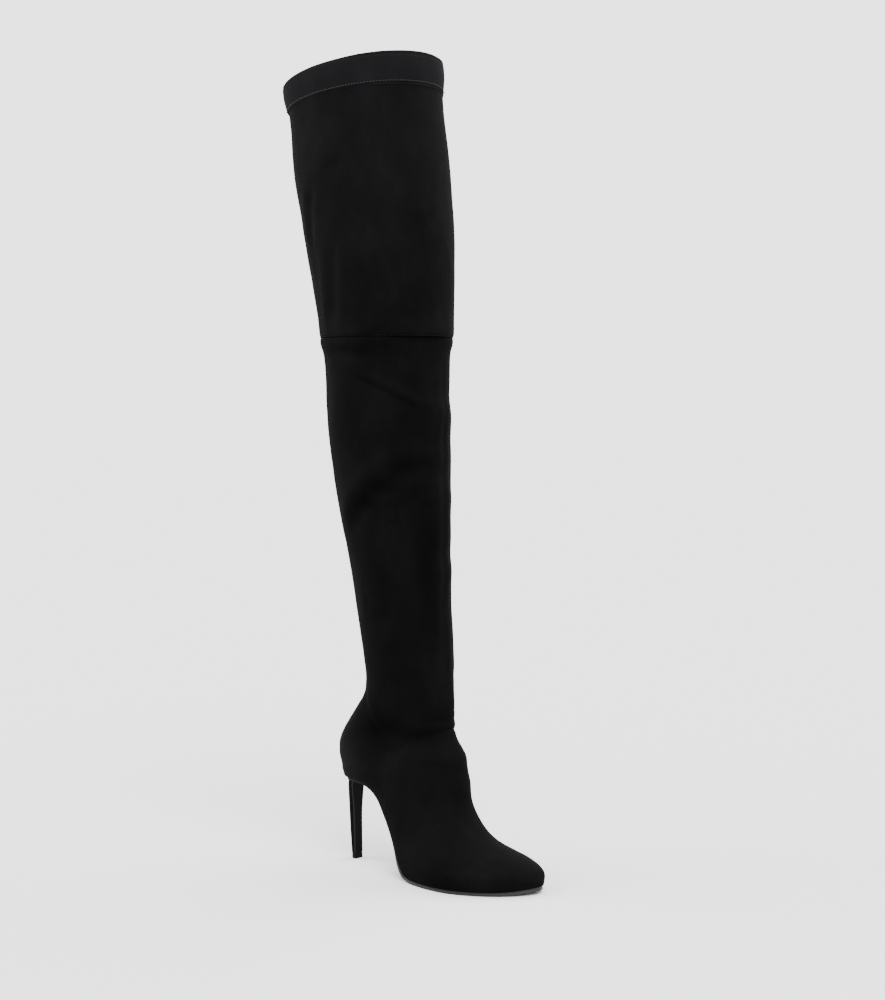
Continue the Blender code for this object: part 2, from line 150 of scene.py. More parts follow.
# How finely the surfaces are divided
COLUMNS = 136
FOOT_ROWS = 120
ROW_STEP = 0.0023
BAND_STEP = 0.0009
SOLE_COLUMNS = 28
SOLE_ROWS = 110
HEEL_COLUMNS = 56
STEM_STEPS = 30
BREAST_STEPS = 18

# Which faces of the sole show as its edge, and where the forefoot's lighter edge, a painted
# reflection, ends
SIDE_TILT = 0.3
TOE_TILT = 0.5
FOREFOOT_START = 0.2 * SOLE_LENGTH
FOREFOOT_HEIGHT = 0.25 * SEAT_HEIGHT

# The last's bottom from heel to toe: its rise as a share of the seat's height, and the half-widths
# of its edge and of the foot over it, to both sides, as shares of the ball's width
BOTTOM = table(
    "along rise outer inner outer_side inner_side",
    (0.00, 1.000, 0.315, 0.315, 0.362, 0.362),
    (0.06, 0.986, 0.311, 0.313, 0.362, 0.362),
    (0.12, 0.970, 0.298, 0.304, 0.362, 0.360),
    (0.18, 0.942, 0.286, 0.284, 0.362, 0.356),
    (0.22, 0.893, 0.280, 0.266, 0.363, 0.353),
    (0.26, 0.804, 0.280, 0.250, 0.366, 0.351),
    (0.30, 0.644, 0.285, 0.238, 0.370, 0.350),
    (0.34, 0.473, 0.300, 0.232, 0.378, 0.351),
    (0.38, 0.281, 0.324, 0.232, 0.390, 0.354),
    (0.42, 0.107, 0.362, 0.242, 0.408, 0.362),
    (0.46, 0.0265, 0.396, 0.268, 0.432, 0.378),
    (0.52, 0.004, 0.436, 0.330, 0.466, 0.408),
    (0.60, 0.000, 0.468, 0.410, 0.500, 0.450),
    (0.70, 0.000, 0.488, 0.462, 0.522, 0.490),
    (0.84, 0.000, 0.490, 0.480, 0.530, 0.510),
    (0.92, 0.010, 0.490, 0.480, 0.530, 0.510),
    (1.00, 0.047, 0.490, 0.480, 0.530, 0.510),
)

# The foot's ridge over each station: how far forward, high and aside it lies, and where up its
# section the foot is widest and how full it is
TOP = table(
    "along forward crest aside widest fuller",
    (0.00, 0.558, 1.000, 0.010, 0.30, 2.00),
    (0.06, 0.576, 0.955, 0.014, 0.30, 2.00),
    (0.14, 0.591, 0.908, 0.022, 0.31, 2.00),
    (0.22, 0.600, 0.850, 0.030, 0.32, 2.00),
    (0.30, 0.607, 0.770, 0.036, 0.33, 1.98),
    (0.38, 0.613, 0.680, 0.040, 0.34, 1.96),
    (0.46, 0.621, 0.580, 0.042, 0.35, 1.94),
    (0.54, 0.635, 0.475, 0.044, 0.36, 1.92),
    (0.62, 0.664, 0.370, 0.046, 0.37, 1.90),
    (0.70, 0.714, 0.292, 0.044, 0.38, 1.86),
    (0.78, 0.782, 0.250, 0.038, 0.40, 1.84),
    (0.86, 0.860, 0.218, 0.030, 0.42, 1.86),
    (0.93, 0.931, 0.184, 0.020, 0.45, 1.92),
    (0.97, 0.974, 0.149, 0.010, 0.48, 1.98),
    (1.00, 1.000, 0.085, 0.000, 0.50, 2.00),
)

# Rings of the leg from the ankle to the collar, by height as a share of the knee's height
RINGS = table(
    "height slope middle depth broad lean widest",
    (0.2341, 0.355, 0.447, 1.016, 0.545, 0.00, 0.31),
    (0.2473, 0.314, 0.434, 1.034, 0.545, 0.00, 0.32),
    (0.2604, 0.279, 0.433, 1.034, 0.548, 0.00, 0.33),
    (0.2724, 0.257, 0.446, 1.026, 0.552, 0.00, 0.34),
    (0.2845, 0.239, 0.462, 0.994, 0.568, 0.00, 0.36),
    (0.2972, 0.225, 0.483, 0.954, 0.592, -0.02, 0.38),
    (0.3103, 0.208, 0.506, 0.904, 0.624, -0.04, 0.40),
    (0.3245, 0.189, 0.531, 0.848, 0.664, -0.06, 0.42),
    (0.3387, 0.166, 0.551, 0.800, 0.706, -0.08, 0.44),
    (0.3541, 0.139, 0.562, 0.766, 0.746, -0.10, 0.46),
    (0.3698, 0.100, 0.562, 0.752, 0.776, -0.11, 0.48),
    (0.396, 0.050, 0.553, 0.756, 0.816, -0.11, 0.50),
    (0.4945, 0.000, 0.510, 0.783, 0.860, -0.04, 0.50),
    (0.606, 0.000, 0.470, 0.852, 0.880, 0.06, 0.50),
    (0.718, 0.000, 0.424, 0.936, 0.890, 0.16, 0.49),
    (0.829, 0.000, 0.400, 0.992, 0.900, 0.26, 0.48),
    (0.921, 0.000, 0.387, 1.002, 0.900, 0.33, 0.49),
    (1.000, 0.000, 0.383, 1.036, 0.900, 0.39, 0.50),
    (1.105, 0.000, 0.364, 1.110, 0.900, 0.50, 0.50),
    (1.217, 0.020, 0.328, 1.188, 0.900, 0.64, 0.50),
    (1.309, 0.060, 0.285, 1.213, 0.900, 0.76, 0.50),
    (1.400, 0.110, 0.252, 1.195, 0.900, 0.88, 0.50),
    (1.490, 0.170, 0.223, 1.224, 0.900, 1.00, 0.50),
)

# The line along which the counter ends, and the heel's stem by height
COUNTER = table(
    "forward height",
    (0.00, 1.300),
    (0.08, 1.240),
    (0.18, 1.110),
    (0.25, 1.010),
    (0.32, 0.890),
    (0.38, 0.835),
    (0.44, 0.795),
    (0.55, 0.775),
    (0.66, 0.770),
)

STEMS = table(
    "height back front width",
    (0.070, -0.57, 0.33, 0.90),
    (0.285, -0.78, 0.29, 0.92),
    (0.540, -0.94, 0.24, 1.00),
    (0.715, -0.97, 0.24, 1.26),
    (0.850, -0.94, 0.26, 1.50),
    (0.935, -0.88, 0.28, 1.80),
)

# The folds: points run along a trough as shares of the sole's length, the ball's width and the
# knee's height; depth and width are its size in metres, puff how far the fabric swells beside
# it, and above is +1 where that is on its upper side, -1 below and 0 on both sides
FOLDS = table(
    "depth width puff above points",
    (0.0011, 0.0032, 0.0011, 1,
     ((0.235, -0.655, 0.928), (0.299, -0.619, 0.915), (0.343, -0.574, 0.906),
      (0.406, -0.466, 0.888), (0.45, -0.333, 0.87), (0.475, -0.20, 0.864))),
    (0.0017, 0.008, 0.002, 1,
     ((0.15, -0.45, 0.628), (0.179, -0.508, 0.644), (0.228, -0.546, 0.669),
      (0.272, -0.555, 0.692), (0.321, -0.537, 0.711), (0.363, -0.498, 0.726),
      (0.414, -0.416, 0.748), (0.465, -0.255, 0.757), (0.48, -0.05, 0.75))),
    (0.0007, 0.006, 0.0008, 1,
     ((0.35, -0.47, 0.668), (0.384, -0.452, 0.678), (0.425, -0.371, 0.689),
      (0.458, -0.267, 0.708), (0.479, -0.12, 0.72))),
    (0.0008, 0.0036, 0.0005, 1, ((0.374, -0.456, 0.656), (0.397, -0.423, 0.661))),
    (0.0008, 0.0036, 0.0005, 1, ((0.466, -0.21, 0.684), (0.481, -0.12, 0.692))),
    (0.0008, 0.006, 0.0006, 1,
     ((0.215, -0.435, 0.512), (0.26, -0.441, 0.508), (0.31, -0.437, 0.502))),
    (0.0008, 0.006, 0.0006, 1,
     ((0.261, -0.426, 0.478), (0.305, -0.426, 0.483), (0.355, -0.409, 0.487))),
    (0.0004, 0.009, 0.0004, 1,
     ((0.33, -0.36, 0.41), (0.40, -0.35, 0.418), (0.48, -0.22, 0.416))),
    (0.0005, 0.009, 0.0004, 1,
     ((0.16, -0.42, 0.42), (0.23, -0.43, 0.396), (0.31, -0.40, 0.382))),
    (0.0013, 0.0048, 0.0008, 1,
     ((0.10, -0.861, 1.281), (0.069, -0.821, 1.241), (0.056, -0.777, 1.196),
      (0.05, -0.74, 1.15))),
    (0.0018, 0.0058, 0.0009, 0,
     ((0.19, -0.83, 1.18), (0.185, -0.81, 1.156), (0.176, -0.776, 1.111),
      (0.168, -0.743, 1.066), (0.158, -0.707, 1.012))),
    (0.001, 0.005, 0.0008, 1,
     ((0.494, -0.34, 1.19), (0.503, -0.268, 1.205), (0.506, -0.19, 1.222))),
    (0.001, 0.006, 0.0006, 1,
     ((0.18, -0.881, 1.312), (0.212, -0.873, 1.305), (0.248, -0.86, 1.299))),
    (0.0009, 0.0044, 0.0005, 1, ((0.345, -0.637, 1.004), (0.38, -0.60, 1.009))),
    (0.0009, 0.005, 0.0005, 1, ((0.445, -0.45, 1.03), (0.475, -0.35, 1.04))),
    (0.001, 0.006, 0.0008, 1, ((0.41, -0.47, 0.954), (0.455, -0.34, 0.955))),
    (0.0013, 0.0052, 0.0004, 0,
     ((0.07, -0.60, 0.983), (0.178, -0.67, 0.976), (0.25, -0.666, 0.97),
      (0.33, -0.61, 0.962))),
    (0.0016, 0.004, 0.001, 1,
     ((0.16, -0.26, 0.342), (0.19, -0.345, 0.308), (0.236, -0.37, 0.276),
      (0.285, -0.347, 0.24), (0.337, -0.335, 0.224), (0.40, -0.335, 0.212))),
    (0.0009, 0.006, 0.0004, 1,
     ((0.38, -0.345, 0.214), (0.455, -0.307, 0.209), (0.56, -0.18, 0.208))),
    (0.001, 0.01, 0.0008, 1,
     ((0.215, -0.37, 0.296), (0.30, -0.35, 0.266), (0.38, -0.31, 0.254),
      (0.46, -0.23, 0.25), (0.52, -0.11, 0.252))),
    (0.0004, 0.0038, 0.0003, 0,
     ((0.479, 0.048, 0.954), (0.476, 0.073, 0.884), (0.482, 0.057, 0.792),
      (0.481, 0.043, 0.70), (0.484, 0.051, 0.589), (0.491, 0.032, 0.479),
      (0.511, -0.008, 0.369), (0.521, -0.005, 0.29))),
    (0.0006, 0.003, 0.0003, 0, ((0.686, -0.478, 0.046), (0.722, -0.445, 0.044))),
)

# Soft bends across the front of the shaft, which show in its outline: height is a share of the
# knee's height, and each reaches over the front from about turn low to turn high
BENDS = table(
    "height depth width low high tilt",
    (0.905, 0.0012, 0.009, 0.36, 0.70, 0.10),
    (0.862, -0.0012, 0.009, 0.34, 0.62, 0.10),
    (0.805, 0.0008, 0.008, 0.38, 0.60, -0.05),
    (0.752, 0.001, 0.008, 0.40, 0.62, 0.05),
    (0.706, -0.0008, 0.009, 0.36, 0.60, 0.08),
    (0.60, 0.0012, 0.011, 0.34, 0.64, 0.05),
    (0.565, -0.0012, 0.009, 0.34, 0.62, -0.05),
    (0.505, 0.0007, 0.009, 0.38, 0.60, 0.06),
    (0.335, -0.0008, 0.012, 0.38, 0.62, 0.00),
    (0.303, -0.0021, 0.011, 0.36, 0.64, 0.00),
    (0.281, -0.003, 0.0068, 0.36, 0.64, 0.00),
    (0.222, -0.0026, 0.0085, 0.36, 0.64, 0.00),
    (0.178, -0.0022, 0.012, 0.36, 0.64, 0.00),
    (0.78, 0.001, 0.01, 0.10, 0.34, 0.12),
    (0.64, 0.0012, 0.011, 0.08, 0.36, -0.10),
    (0.52, 0.0011, 0.01, 0.06, 0.32, 0.10),
    (0.90, 0.001, 0.01, 0.08, 0.34, -0.06),
)

# Painted light and shade: places painted lighter (gain over 1) or darker (under 1), in metres, and
# the height over which the panel is painted lighter the higher up it is
MARK = "centre reach gain"
UPPER_PAINTED_SPOTS = table(
    MARK,
    ((0.006, -0.02, 0.09), (0.05, 0.05, 0.05), 3.4),
    ((0.096, -0.012, 0.27), (0.022, 0.022, 0.10), 0.60),
    ((0.06, -0.024, 0.128), (0.03, 0.03, 0.026), 0.40),
    ((0.022, -0.044, 0.40), (0.014, 0.02, 0.05), 1.8),
    ((0.024, -0.04, 0.33), (0.012, 0.02, 0.05), 1.8),
    ((0.034, -0.032, 0.24), (0.012, 0.02, 0.06), 1.8),
    ((0.056, -0.046, 0.318), (0.02, 0.02, 0.012), 0.6),
    ((0.073, -0.04, 0.332), (0.02, 0.02, 0.011), 0.6),
    ((0.11, -0.02, 0.06), (0.03, 0.03, 0.05), 1.25),
    ((0.172, -0.01, 0.01), (0.06, 0.05, 0.02), 1.5),
)
PANEL_PAINTED_LIGHT_FROM = KNEE_HEIGHT + 0.03
PANEL_PAINTED_SPOTS = table(
    MARK,
    ((0.06, -0.05, 0.60), (0.03, 0.03, 0.04), 1.3),
)


def smooth(rows, key, column, at):
    """A curve without overshoot through one column of a table, read at a value of its key."""
    xs = [getattr(row, key) for row in rows]
    ys = [getattr(row, column) for row in rows]
    if at <= xs[0]:
        return ys[0]
    if at >= xs[-1]:
        return ys[-1]
    steps = [(ys[i + 1] - ys[i]) / (xs[i + 1] - xs[i]) for i in range(len(xs) - 1)]
    slopes = [steps[0]]
    for before, after in zip(steps, steps[1:]):
        if before * after <= 0.0:
            slopes.append(0.0)
        else:
            slopes.append(2.0 * before * after / (before + after))
    slopes.append(steps[-1])
    i = max(k for k in range(len(xs) - 1) if xs[k] <= at)
    span = xs[i + 1] - xs[i]
    t = (at - xs[i]) / span
    start = (1.0 + 2.0 * t) * (1.0 - t) ** 2 * ys[i] + t * (1.0 - t) ** 2 * span * slopes[i]
    finish = t * t * (3.0 - 2.0 * t) * ys[i + 1] - t * t * (1.0 - t) * span * slopes[i + 1]
    return start + finish


def lerp(a, b, t):
    return a + (b - a) * t


def soft_step(share):
    share = min(1.0, max(0.0, share))
    return share * share * (3.0 - 2.0 * share)


def end_round(from_end, reach, power):
    """The half-width at a distance from a round end, as a share of the full one."""
    share = min(1.0, max(0.0, 1.0 - from_end / reach))
    return (1.0 - share ** power) ** (1.0 / power)


def toe_round(along):
    return end_round(1.0 - along, TOE_ROUND, 1.6)


def heel_round(along):
    return end_round(along, HEEL_ROUND, 2.1)


def bottom(along, column):
    return smooth(BOTTOM, "along", column, along)


def top(along, column):
    return smooth(TOP, "along", column, along)


def along_to_x(along):
    return HEEL_BACK + SOLE_LENGTH * along


def middle_line(along):
    """How far the last's centre line lies to the inner side."""
    start, power = 0.62, 1.3
    end, hollow = 0.9, 0.0025
    swing = max(0.0, (along - start) / (1.0 - start))
    return TOE_WANDER * swing ** power - hollow * math.sin(math.pi * min(1.0, along / end)) ** 2


def bottom_height(along):
    return lerp(SOLE_THICK + GAP, SEAT_HEIGHT, bottom(along, "rise"))


def bottom_normal(along):
    """The direction square to the last's bottom, upward."""
    step = 0.004
    rise = bottom_height(along + step) - bottom_height(along - step)
    return Vector((-rise, 0.0, 2.0 * step * SOLE_LENGTH)).normalized()


def feather(along, side):
    """A point of the feather edge; side is +1 for the inner edge and -1 for the outer."""
    half = BALL_WIDTH * bottom(along, "inner" if side > 0 else "outer")
    half *= toe_round(along) * heel_round(along)
    return Vector((along_to_x(along), middle_line(along) + side * half, bottom_height(along)))


def drawn_in(along, inset):
    """Where a station lands on an outline drawn in by inset: only the two ends move along."""
    pull = inset / SOLE_LENGTH * soft_step(1.0 - min(along, 1.0 - along) / INSET_END)
    return along + pull if along < 0.5 else along - pull


def inset_edge(along, side, inset):
    """The feather edge drawn in by about inset all round, on the same bottom."""
    place = drawn_in(along, inset)
    half = abs(feather(along, side).y - middle_line(along))
    half *= 1.0 - inset / (0.5 * BALL_WIDTH)
    return Vector((along_to_x(place), middle_line(place) + side * half, bottom_height(place)))


def sole_size(along, tread, waist):
    """A size of the sole that goes from its tread's value to its waist's with the arch's rise."""
    return lerp(tread, waist, soft_step(bottom(along, "rise") / 0.4))


def arch_parameters(count):
    """Pairs of side and share up the section, from the inner edge over the top to the outer."""
    half = count // 2
    for k in range(count + 1):
        side = 1.0 if k < half else -1.0
        yield side, 1.0 - abs(k - half) / half


def arch_shape(share, narrow, widest, fuller):
    """Height up the section and half-width, both as shares, for a share of the way round."""
    turn = 0.42
    if share < turn:
        start = math.asin(min(0.999, narrow))
        angle = lerp(start, 0.5 * math.pi, share / turn)
        return widest * (1.0 - math.cos(angle) / math.cos(start)), math.sin(angle)
    angle = 0.5 * math.pi * (share - turn) / (1.0 - turn)
    power = 2.0 / fuller
    return widest + (1.0 - widest) * math.sin(angle) ** power, max(0.0, math.cos(angle)) ** power


def stood_out(point, side, broad):
    """A point of the foot or ankle, moved out where the counter stands out under the shaft."""
    line = INSTEP_HEIGHT * smooth(COUNTER, "forward", "height", (point.x - HEEL_BACK) / SOLE_LENGTH)
    step = COUNTER_STEP * soft_step(0.5 + (line - point.z) / COUNTER_SOFT)
    fade = min(1.0, point.z / SEAT_HEIGHT)
    return point + Vector((0.0, side * step * broad * fade, 0.0))


def foot_section(along):
    """One row of the foot, from the inner feather edge over the ridge to the outer."""
    base = Vector((along_to_x(along), 0.0, bottom_height(along)))
    ridge = Vector((HEEL_BACK + SOLE_LENGTH * top(along, "forward"), 0.0,
                    INSTEP_HEIGHT * top(along, "crest")))
    widest, fuller = top(along, "widest"), top(along, "fuller")
    middle = middle_line(along)
    lean = BALL_WIDTH * top(along, "aside")
    sides = {}
    for side in (1.0, -1.0):
        half = BALL_WIDTH * bottom(along, "inner_side" if side > 0 else "outer_side")
        half *= toe_round(along)
        edge = abs(feather(along, side).y - middle)
        sides[side] = (half, min(1.0, edge / half) if half > 1e-6 else 1.0)
    points = []
    for side, share in arch_parameters(COLUMNS):
        half, narrow = sides[side]
        rise, reach = arch_shape(share, narrow, widest, fuller)
        point = lerp(base, ridge, rise)
        point.y = middle + side * half * reach + lean * rise ** 1.5
        points.append(stood_out(point, side, math.sin(math.pi * share) ** 0.5))
    if along >= 1.0:
        points = [feather(1.0, 1.0)] * len(points)
    return points


def foot_row(along):
    """A foot section with the lasting margin turned in under it at both ends."""
    inner = [inset_edge(along, 1.0, MARGIN * k / 3) for k in (3, 2, 1)]
    outer = [inset_edge(along, -1.0, MARGIN * k / 3) for k in (1, 2, 3)]
    return inner + foot_section(along) + outer


def ring(height, stand=0.0):
    """A closed ring of the leg at a share of the knee's height, stood off by a distance."""
    slope, middle, depth, broad, lean, widest = (
        smooth(RINGS, "height", name, height) for name in RINGS[0]._fields[1:])
    half_depth = 0.5 * CALF_DEPTH * depth
    half_width = half_depth * broad + stand
    half_depth += stand
    centre = Vector((CALF_DEPTH * middle, -LEG_LEAN * lean, KNEE_HEIGHT * height))
    points = []
    for side, share in arch_parameters(COLUMNS):
        rise, reach = arch_shape(share, 0.0, widest, 2.0)
        forward = half_depth * (2.0 * rise - 1.0)
        point = centre + Vector((forward, side * half_width * reach, slope * forward))
        points.append(stood_out(point, side, reach))
    return points


def ring_heights(start, end, step=ROW_STEP):
    count = max(1, round((end - start) * KNEE_HEIGHT / step))
    return [lerp(start, end, k / count) for k in range(count + 1)]


def row_array(points):
    return np.array([tuple(point) for point in points])


def between(before, first, second, after, count):
    """Rows of a smooth surface between two rows, led by the rows before and after them."""
    span = np.linalg.norm(second - first, axis=1).mean()
    lead_in = (first - before) / np.linalg.norm(first - before, axis=1).mean() * span
    lead_out = (after - second) / np.linalg.norm(after - second, axis=1).mean() * span
    rows = []
    for k in range(1, count):
        t = k / count
        rows.append((1 + 2 * t) * (1 - t) ** 2 * first + t * (1 - t) ** 2 * lead_in
                    + t * t * (3 - 2 * t) * second - t * t * (1 - t) * lead_out)
    return rows


def fine_stations(count):
    """Shares along the sole from the toe to the heel, closer together at both round ends."""
    even = 0.15
    return [1.0 - lerp(0.5 * (1.0 - math.cos(math.pi * k / count)), k / count, even)
            for k in range(count + 1)]


class Skin:
    """A surface built as grids of points, joined where they coincide."""

    def __init__(self):
        self.points = []
        self.faces = []

    def grid(self, rows, closed=False):
        start = len(self.points)
        width = len(rows[0])
        for row in rows:
            self.points.extend(tuple(point) for point in row)
        for r in range(len(rows) - 1):
            for c in range(width if closed else width - 1):
                n = (c + 1) % width
                a = start + r * width
                b = a + width
                self.faces.append((a + c, a + n, b + n, b + c))

    def fan(self, row):
        start = len(self.points)
        self.points.extend(tuple(point) for point in row)
        centre = np.mean(row_array(row), axis=0)
        self.points.append(tuple(centre))
        for c in range(len(row)):
            self.faces.append((start + c, start + (c + 1) % len(row), start + len(row)))

    def capped(self, rows):
        """A closed tube of rows with a cap on both ends."""
        self.grid(rows, closed=True)
        self.fan(rows[0])
        self.fan(rows[-1])

    def finish(self, name, materials, merge=1e-6):
        data = bpy.data.meshes.new(name)
        data.from_pydata(self.points, [], self.faces)
        mesh = bmesh.new()
        mesh.from_mesh(data)
        bmesh.ops.remove_doubles(mesh, verts=mesh.verts, dist=merge)
        bmesh.ops.dissolve_degenerate(mesh, edges=mesh.edges, dist=merge)
        bmesh.ops.recalc_face_normals(mesh, faces=mesh.faces)
        mesh.to_mesh(data)
        mesh.free()
        for material in materials:
            data.materials.append(material)
        data.shade_smooth()
        piece = bpy.data.objects.new(name, data)
        bpy.context.scene.collection.objects.link(piece)
        return piece


def mesh_values(items, name):
    """A vector of each of a mesh's items as an array."""
    flat = np.empty(len(items) * 3)
    items.foreach_get(name, flat)
    return flat.reshape(-1, 3)


def mesh_points(piece):
    return mesh_values(piece.data.vertices, "co")


def push(piece, amounts):
    """Moves each point of a piece along its normal."""
    normals = mesh_values(piece.data.vertex_normals, "vector")
    points = mesh_points(piece) + normals * amounts[:, None]
    piece.data.vertices.foreach_set("co", points.ravel())
    piece.data.update()


def fold_amounts(points):
    """How far the folds push each point: in at the trough, out where the fabric puffs up."""
    amounts = np.zeros(len(points))
    unit = np.array((SOLE_LENGTH, BALL_WIDTH, KNEE_HEIGHT))
    for fold in FOLDS:
        way = np.array(fold.points) * unit
        low, high = way.min(axis=0) - FOLD_REACH, way.max(axis=0) + FOLD_REACH
        near = np.where(np.all((points > low) & (points < high), axis=1))[0]
        spot = points[near]
        lengths = np.linalg.norm(np.diff(way, axis=0), axis=1)
        starts = np.concatenate(((0.0,), np.cumsum(lengths)))
        best = np.full(len(near), 1e9)
        drop = np.zeros(len(near))
        run = np.zeros(len(near))
        for k, length in enumerate(lengths):
            step = way[k + 1] - way[k]
            t = np.clip(((spot - way[k]) @ step) / length ** 2, 0.0, 1.0)
            off = spot - (way[k] + t[:, None] * step)
            far = np.linalg.norm(off, axis=1)
            closer = far < best
            best = np.where(closer, far, best)
            drop = np.where(closer, off[:, 2], drop)
            run = np.where(closer, starts[k] + t * length, run)
        share = run / starts[-1]
        fade = soft_steps(np.minimum(share, 1.0 - share) / FOLD_END)
        fade = FOLD_LEFT + (1.0 - FOLD_LEFT) * fade
        trough = hill(best, 0.0, fold.width)
        swell = hill(best, 1.9 * fold.width, 1.1 * fold.width)
        if fold.above:
            swell = swell * (0.5 + 0.5 * np.tanh(fold.above * drop / (0.4 * fold.width)))
        amounts[near] += fade * (fold.puff * swell - fold.depth * trough)
    return amounts


def turn_of(points):
    """The turn round the leg of each point: 0 at the back, 0.25 inner side, 0.5 front."""
    heights = points[:, 2] / KNEE_HEIGHT
    levels = [row.height for row in RINGS]
    middle = np.interp(heights, levels, [CALF_DEPTH * row.middle for row in RINGS])
    lean = np.interp(heights, levels, [-LEG_LEAN * row.lean for row in RINGS])
    angle = np.arctan2(points[:, 1] - lean, middle - points[:, 0])
    return (angle / (2.0 * math.pi)) % 1.0


def bend_amounts(points):
    """Soft bends of the shaft, as wide and shallow bands that fade out round it."""
    turn = turn_of(points)
    amounts = np.zeros(len(points))
    for bend in BENDS:
        share = (turn - bend.low) / (bend.high - bend.low)
        inside = (share > 0.0) & (share < 1.0)
        fade = np.where(inside, np.sin(math.pi * np.clip(share, 0.0, 1.0)), 0.0)
        middle = KNEE_HEIGHT * (bend.height + bend.tilt * (turn - 0.5 * (bend.low + bend.high)))
        amounts -= bend.depth * fade * hill(points[:, 2], middle, bend.width)
    return amounts


def noise_at(places, size=1.0):
    return np.array([noise.noise(Vector(place) / size) for place in places])


def slack(points, strength, size):
    """The fabric's slight unevenness, from fixed noise that is drawn out up the leg."""
    return strength * noise_at(points * (1.0, 1.0, 0.55), size)


def soft_steps(share):
    share = np.clip(share, 0.0, 1.0)
    return share * share * (3.0 - 2.0 * share)


def hill(value, middle, reach):
    """A soft hill: 1 at its middle, fading out on both sides over about its reach."""
    return np.exp(-((value - middle) / reach) ** 2)


def fade_in(distance, fade):
    """0 up to a fade's start, rising to 1 over its length."""
    return np.clip((distance - fade[0]) / fade[1], 0.0, 1.0)


def add_wall(piece, thickness):
    """Gives a surface its wall, inward from it, with the piece's second material inside."""
    shell = piece.modifiers.new("wall", "SOLIDIFY")
    shell.thickness = thickness
    shell.offset = -1.0
    shell.use_quality_normals = True
    shell.material_offset = 1
    shell.material_offset_rim = 0


def make_upper(suede, lining):
    """Foot and lower shaft up to the knee seam, with the folds of the slack ankle and calf."""
    skin = Skin()
    stations = fine_stations(FOOT_ROWS)
    skin.grid([foot_row(along) for along in stations])
    heel_row = row_array(foot_section(0.0))
    before = row_array(foot_section(stations[-2]))
    top_edge = 1.0 + SEAM_LAP / KNEE_HEIGHT
    fine_from = 1.0 - FINE_REACH / KNEE_HEIGHT
    heights = ring_heights(RINGS[0].height, fine_from)
    heights += ring_heights(fine_from, top_edge, FINE_STEP)[1:]
    rings = [row_array(ring(height)) for height in heights]
    skin.grid([heel_row] + between(before, heel_row, rings[0], rings[1], 5) + rings)
    piece = skin.finish("boot_upper", (suede, lining))
    points = mesh_points(piece)
    height = points[:, 2]
    amounts = FOLD_GAIN * fold_amounts(points) + bend_amounts(points)
    foot = 0.5 - 0.5 * np.tanh((height - CALM_HEIGHT) / CALM_BLEND)
    for strength, size, calm in UPPER_SLACK:
        amounts += slack(points, strength, size) * (1.0 - calm * foot)
    amounts *= fade_in(height, SOLE_FADE) * fade_in(KNEE_HEIGHT - height, SEAM_FADE)
    push(piece, amounts + upper_hem(points))
    add_wall(piece, WALL)
    return piece


def front_share(points):
    """How far each point belongs to the front of the knee seam, where the panel stands out."""
    return hill(turn_of(points), FRONT_TURN, FRONT_REACH)


def upper_hem(points):
    """How far the lower shaft swells just under the knee seam and is drawn in at it."""
    below_seam = KNEE_HEIGHT - points[:, 2]
    swell = (0.0021 - 0.0026 * front_share(points)) * hill(below_seam, 0.0035, 0.0070)
    return swell - KNEE_TUCK * soft_steps((TUCK_START - below_seam) / TUCK_BLEND)


def make_thigh_panel(suede, lining):
    """The upper shaft's panel, its lower edge standing off over the knee seam."""
    tuck = BAND_LOW + SEAM_LAP / KNEE_HEIGHT
    skin = Skin()
    fine_to = 1.0 + FINE_REACH / KNEE_HEIGHT
    heights = ring_heights(1.0, fine_to, FINE_STEP) + ring_heights(fine_to, tuck)[1:]
    skin.grid([ring(height, WALL + GAP) for height in heights])
    piece = skin.finish("boot_thigh_panel", (suede, lining))
    points = mesh_points(piece)
    amounts = FOLD_GAIN * fold_amounts(points)
    for strength, size in PANEL_SLACK:
        amounts += slack(points, strength, size)
    amounts *= fade_in(KNEE_HEIGHT * tuck - points[:, 2], BAND_FADE)
    push(piece, amounts + panel_hem(points))
    add_wall(piece, WALL)
    return piece


def panel_hem(points):
    """How far the panel is drawn in at the knee seam and stands out just over it."""
    turn = turn_of(points)
    front = front_share(points)
    rise = points[:, 2] - KNEE_HEIGHT
    pucker = noise_at(np.stack((turn * 46.0, rise / 0.02, 0.0 * turn), axis=1))
    drawn = (0.0006 + 0.0005 * front) * hill(rise, 0.0, 0.0016) * (1.0 + 0.15 * pucker)
    return (0.0004 + 0.0016 * front) * hill(rise, 0.005, 0.008) - drawn


def make_top_band(band, lining):
    """The folded hem round the collar, with a soft top fold and the seam that joins its ends."""
    skin = Skin()
    heights = ring_heights(BAND_LOW, COLLAR, BAND_STEP)
    skin.grid([ring(height, 2.0 * (WALL + GAP)) for height in heights])
    piece = skin.finish("boot_top_band", (band, lining))
    points = mesh_points(piece)
    push(piece, band_hem(points))
    add_wall(piece, WALL)
    return piece


def band_hem(points):
    """How far the band is drawn in at its edges, stitches and joint, and raised between them."""
    level = band_share(points)
    joint = np.abs(turn_of(points) - BAND_JOINT_TURN)
    amounts = slack(points, *BAND_SLACK)
    for places, hills in ((level, BAND_HILLS), (joint, JOINT_HILLS)):
        for rise, middle, reach in hills:
            amounts += rise * hill(places, middle, reach)
    return amounts


def make_band_stitches(thread):
    """The fine line of stitches along the band's lower edge."""
    row = ring(lerp(BAND_LOW, COLLAR, STITCH_LEVEL), 2.0 * (WALL + GAP))
    return stitch_ring("boot_band_stitches", row, band_hem, STITCH_RADIUS, thread)


def make_knee_stitches(thread):
    """The blind stitches that show as a fine broken line over the knee seam's edge."""
    row = ring(1.0 + FINE_STEP / KNEE_HEIGHT, WALL + GAP)
    return stitch_ring("boot_knee_stitches", row, panel_hem, 0.8 * STITCH_RADIUS, thread)


